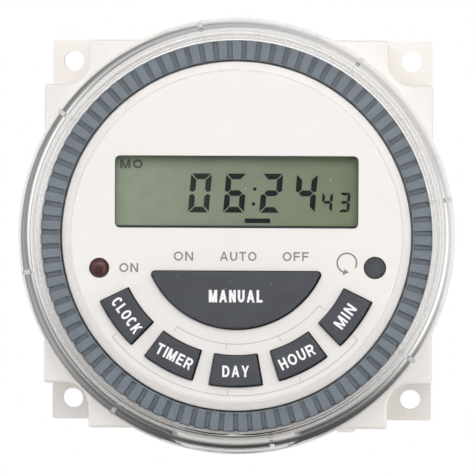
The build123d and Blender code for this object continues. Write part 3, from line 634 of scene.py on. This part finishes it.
def radial_bar(inner, outer, angle, width):
    """The outline of a short line that points away from the centre."""
    near, far = polar(inner, angle), polar(outer, angle)
    side = polar(width / 2, angle + 90)
    return [(near[0] - side[0], near[1] - side[1]), (far[0] - side[0], far[1] - side[1]),
            (far[0] + side[0], far[1] + side[1]), (near[0] + side[0], near[1] + side[1])]


# ---------------------------------------------------------------- clear cover
STEP_R = 31.0    # where the cover's front steps down to its shoulder


def cover_profile():
    """The cover's closed section as (radius, depth) in mm, from the centre of its front.

    Points close beside each fillet keep the smooth shading of the flat parts flat.
    """
    shoulder, inner_r, throat_r = 37.3, 32.3, 30.35
    front_round, foot_round, shoulder_round, throat_round, rim_break = 0.8, 0.15, 2.1, 0.4, 0.15
    support = 0.02
    inner_front = COVER_FRONT - 1.2

    def rounded(centre, radius, start, end, count=8):
        """Points along an arc of the section."""
        return [(centre[0] + radius * cos(radians(start + (end - start) * n / count)),
                 centre[1] + radius * sin(radians(start + (end - start) * n / count)))
                for n in range(count + 1)]

    outer = [(0.0, COVER_FRONT), (STEP_R - 2.0, COVER_FRONT), (STEP_R - front_round - support, COVER_FRONT)]
    outer += rounded((STEP_R - front_round, COVER_FRONT - front_round), front_round, 90, 0)
    outer += rounded((STEP_R + foot_round, shoulder + foot_round), foot_round, 180, 270, 4)
    outer += rounded((COVER_R - shoulder_round, shoulder - shoulder_round), shoulder_round, 90, 0, 16)
    outer += [(COVER_R, COVER_BACK + rim_break), (COVER_R - rim_break, COVER_BACK)]
    inner = [(inner_r + 0.1, COVER_BACK), (inner_r, COVER_BACK + 0.1)]
    # The corner under the shoulder bows a little outwards
    start, end, bow, steps = (inner_r, 33.2), (throat_r, 35.05), 0.30, 16
    for number in range(steps + 1):
        share = number / steps
        swell = bow * sin(pi * share) * 0.7
        inner.append((start[0] + (end[0] - start[0]) * share + swell,
                      start[1] + (end[1] - start[1]) * share + swell))
    inner += rounded((throat_r - throat_round, inner_front - throat_round), throat_round, 0, 90, 6)
    inner += [(throat_r - throat_round - support, inner_front), (STEP_R - 3.0, inner_front), (0.0, inner_front)]
    return outer, inner


def make_cover():
    """The clear cap, turned finely, with the flat thumb facet at the bottom of its shoulder."""
    turns, facet_start, facet_slope = 360, 50.83, 0.45
    outer, inner = cover_profile()
    section = outer + inner
    rows = section[1:-1]
    points = [(0.0, -section[0][1], 0.0), (0.0, -section[-1][1], 0.0)]
    for number in range(turns):
        angle = 360 * number / turns
        for place, (radius, depth) in enumerate(rows):
            x, z = polar(radius, angle)
            if place < len(outer) - 1 and radius > STEP_R - 0.01 and z < 0:
                depth = min(depth, max(facet_start + facet_slope * z, COVER_BACK))
            points.append((x, -depth, z))
    faces = []
    count = len(rows)
    for number in range(turns):
        here, there = 2 + number * count, 2 + (number + 1) % turns * count
        faces.append((0, here, there))
        faces.append((1, there + count - 1, here + count - 1))
        for place in range(count - 1):
            faces.append((here + place, here + place + 1, there + place + 1, there + place))
    return add_piece("cover_shell", points, faces, finishes["clear_plastic"], "cover", True)


def make_cover_ribs():
    """The small ribs inside the cover's corner."""
    ribs, first_angle, half_width = 8, 10, 0.35
    depths, radii = (32.8, 34.6), (31.0, 32.35)
    sides = ((0, 1, 3, 2), (4, 6, 7, 5), (0, 4, 5, 1), (2, 3, 7, 6), (0, 2, 6, 4), (1, 5, 7, 3))
    points, faces = [], []
    for number in range(ribs):
        angle = first_angle + 360 / ribs * number
        across = polar(half_width, angle + 90)
        first = len(points)
        for depth in depths:
            for radius in radii:
                x, z = polar(radius, angle)
                points.append((x - across[0], -depth, z - across[1]))
                points.append((x + across[0], -depth, z + across[1]))
        faces += [tuple(first + corner for corner in side) for side in sides]
    return add_piece("cover_ribs", points, faces, finishes["clear_plastic"], "cover")


# ---------------------------------------------------------------- display
SEGMENTS = {"0": "abcdef", "2": "abdeg", "3": "abcdg", "4": "bcfg", "6": "acdefg"}


def digit_outlines(digit, left, low, width, height, stroke, lean):
    """The mitred segments of a seven-segment digit."""
    gap, half = stroke * 0.09, stroke / 2
    middle = height / 2

    def flat(z, side):
        """A level segment at height z; side is 1 for the bottom one, -1 for the top one, 0 between."""
        start, end = gap, width - gap
        if side:
            return [(start + gap, z), (end - gap, z),
                    (end - stroke, z + side * stroke), (start + stroke, z + side * stroke)]
        return [(start + half, z), (start + stroke, z - half), (end - stroke, z - half),
                (end - half, z), (end - stroke, z + half), (start + stroke, z + half)]

    def upright(x, inward, base, top):
        """An upright segment whose outer side is at x; its mitres face the level segments."""
        inner = x + inward * stroke
        lower, upper = base + gap * 1.6, top - gap * 1.6
        if base < gap:
            return [(x, lower), (inner, lower + stroke), (inner, upper - half * 0.9),
                    (x + inward * half, upper), (x, upper - half * 0.5)]
        return [(x, lower + half * 0.5), (x + inward * half, lower), (inner, lower + half * 0.9),
                (inner, upper - stroke), (x, upper)]

    shapes = {
        "a": flat(height, -1), "g": flat(middle, 0), "d": flat(0, 1),
        "f": upright(0, 1, middle, height), "b": upright(width, -1, middle, height),
        "e": upright(0, 1, 0, middle), "c": upright(width, -1, 0, middle),
    }
    slope = tan(radians(lean))
    return [[(left + x + z * slope, low + z) for x, z in shapes[name]] for name in SEGMENTS[digit]]


def make_display_content():
    """The digits, colon, cursor bar and day letters that the display shows."""
    ink = flat_print("display_segments", srgb(6, 12, 14), 0.9)
    faint = flat_print("display_faint_segments", srgb(32, 40, 36), 0.9)
    # Foot, width, height, stroke and lean of the large and small digits
    large, small = (3.56, 3.2, 5.98, 0.88, 4.6), (3.70, 1.66, 3.0, 0.44, 4.6)
    dot_r, corners = 0.28, 12
    bar_left, bar_right, bar_low, bar_high = 1.22, 5.12, 1.97, 2.68
    outlines = []
    for digit, left, shape in (("6", -2.12, large), ("2", 3.42, large), ("4", 8.72, large),
                               ("4", 12.86, small), ("3", 15.52, small)):
        outlines += digit_outlines(digit, left, *shape)
    for x, z in ((2.55, 4.90), (2.73, 7.18)):
        dot = [polar(dot_r, 360 / corners * n) for n in range(corners)]
        outlines.append([(x + u, z + v) for u, v in dot])
    outlines.append([(bar_left, bar_low), (bar_right, bar_low), (bar_right, bar_high), (bar_left, bar_high)])
    printed("display_segments", [anticlockwise(outline) for outline in outlines], GLASS_FRONT, ink,
            "housing")
    hour = digit_outlines("0", -7.50, *large)
    printed("display_faint_segments", [anticlockwise(outline) for outline in hour], GLASS_FRONT, faint,
            "housing")
    lettering("display_day", "MO", (-16.15, 10.96), (3.47, 1.39), 0.34, GLASS_FRONT,
              flat_print("display_day_ink", srgb(72, 80, 62), 0.5), "housing")


def make_window_edge_painted_shade():
    """A thin black edge printed behind the window, widest along the bottom: painted shade that stands in for
    the dark gap round the window.
    """
    gap, thick = 0.05, 0.03
    depth = -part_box("lcd_lens")[1][1] / MM - gap
    width, height, middle_z, overlap = 37.25, 11.08, 6.76, 0.4
    bottom_edge, top_edge, side_edge = 0.36, 0.07, 0.05
    half_w, half_h = width / 2 + overlap, height / 2 + overlap
    outer_low, outer_high = middle_z - half_h, middle_z + half_h
    bottom, top = middle_z - height / 2 + bottom_edge, middle_z + height / 2 - top_edge
    side = width / 2 - side_edge
    outlines = [
        [(-half_w, outer_low), (half_w, outer_low), (half_w, bottom), (-half_w, bottom)],
        [(-half_w, top), (half_w, top), (half_w, outer_high), (-half_w, outer_high)],
        [(-half_w, bottom), (-side, bottom), (-side, top), (-half_w, top)],
        [(side, bottom), (half_w, bottom), (half_w, top), (side, top)],
    ]
    # Painted shade: a black border where the gap round the window lies in shadow, widest along the bottom
    printed("window_edge_painted_shade", outlines, depth, finishes["black_plastic"], "housing", thick)


# ---------------------------------------------------------------- printing on the face and keys
def make_face_printing():
    """The words, the fine lines that group the keys, and the reset symbol."""
    ink = flat_print("face_ink", srgb(136, 130, 128))
    word_height, stroke = 1.39, 0.24
    words = [("ON", (-8.08, -3.07), 2.96), ("AUTO", (0.29, -3.07), 5.61), ("OFF", (9.08, -3.07), 3.97),
             ("ON", (-16.44, -4.86), 2.89)]
    for number, (text, centre, width) in enumerate(words):
        lettering(f"face_word_{number}", text, centre, (width, word_height), stroke, FACE_FRONT, ink,
                  "housing")
    faint = flat_print("face_line_ink", srgb(198, 190, 186))
    outer_r, inner_r, tick, line = 24.4, 16.5, 0.9, 0.12
    outer_ticks, inner_ticks = (219.3, 267.0, 294.3, 319.7), (237.0, 265.0, 293.3, 320.4)
    outlines = arc_bands(outer_r, line, outer_ticks[0], outer_ticks[-1])
    outlines += arc_bands(inner_r, line, inner_ticks[0], inner_ticks[-1])
    outlines += [radial_bar(outer_r - tick, outer_r, angle, line) for angle in outer_ticks]
    outlines += [radial_bar(inner_r, inner_r + tick, angle, line) for angle in inner_ticks]
    printed("face_lines", [anticlockwise(outline) for outline in outlines], FACE_FRONT, faint,
            "housing", 0.01)
    # Reset symbol: an open ring that ends in an arrow head
    x, z, radius = 16.9, -4.0, 1.48
    start, end, head_length, head_half = -30, 250, 32, 0.5
    head = [polar(radius, end + head_length), polar(radius + head_half, end), polar(radius - head_half, end)]
    symbol = [[(x + u, z + v) for u, v in shape] for shape in arc_bands(radius, stroke, start, end) + [head]]
    printed("reset_symbol", [anticlockwise(outline) for outline in symbol], FACE_FRONT, ink,
            "housing")


def make_key_printing():
    """The word on each key, which rides with its key."""
    ink = flat_print("key_ink", srgb(253, 253, 254), 0.5)
    row_r, first_angle, pitch, word_height, stroke = 20.6, 216, 27, 1.75, 0.33
    words = (("clock", "CLOCK", 6.1), ("timer", "TIMER", 6.0), ("day", "DAY", 4.1), ("hour", "HOUR", 5.8),
             ("minute", "MIN", 3.9))
    for place, (body, word, width) in enumerate(words):
        angle = first_angle + pitch * place
        lettering(f"legend_{body}", word, polar(row_r, angle), (width, word_height), stroke, KEY_FRONT, ink,
                  body, turn=angle - 270)
    lettering("legend_manual", "MANUAL", (-0.04, -9.12), (8.2, 1.90), 0.38, KEY_FRONT, ink,
              "manual")


# ---------------------------------------------------------------- latch spring
def make_spring():
    """The latch's coil spring, built at one fixed length; the real one shortens as the latch is pulled down."""
    low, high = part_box("latch_spring")
    centre_x, centre_y = (low[0] + high[0]) / 2, (low[1] + high[1]) / 2
    curve = bpy.data.curves.new("spring_coil", "CURVE")
    curve.dimensions = "3D"
    wire_r, coil_r, turns, steps = 0.14 * MM, 0.85 * MM, 6, 24
    curve.bevel_depth, curve.bevel_resolution = wire_r, 4
    spline = curve.splines.new("POLY")
    start, end = low[2] + wire_r, high[2] - wire_r
    spline.points.add(turns * steps)
    for number, point in enumerate(spline.points):
        share = number / (turns * steps)
        x, y = coil_r * cos(2 * pi * turns * share), coil_r * sin(2 * pi * turns * share)
        point.co = (centre_x + x, centre_y + y, start + (end - start) * share, 1)
    writer = bpy.data.objects.new("spring_writer", curve)
    bpy.context.scene.collection.objects.link(writer)
    bpy.context.view_layer.update()
    mesh = bpy.data.meshes.new_from_object(writer)
    bpy.data.objects.remove(writer)
    mesh.materials.clear()
    mesh.materials.append(finishes["steel"])
    coil = bpy.data.objects.new("spring_coil", mesh)
    bpy.context.scene.collection.objects.link(coil)
    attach(coil, "housing")
    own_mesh(coil)
    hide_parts("latch_spring")


add_camera()
add_world()
add_floor()
add_lamp("key_lamp", (0.12, -1.1, 0.48), (0.9, 0.6), 5.1)

cover_shell = make_cover()
make_cover_ribs()
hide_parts("clear_cover")
make_display_content()
# The black border behind the window is painted shade
make_window_edge_painted_shade()
make_face_printing()
make_key_printing()
make_spring()

scene = bpy.context.scene
scene.view_settings.view_transform = "Standard"
scene.view_settings.look = "None"
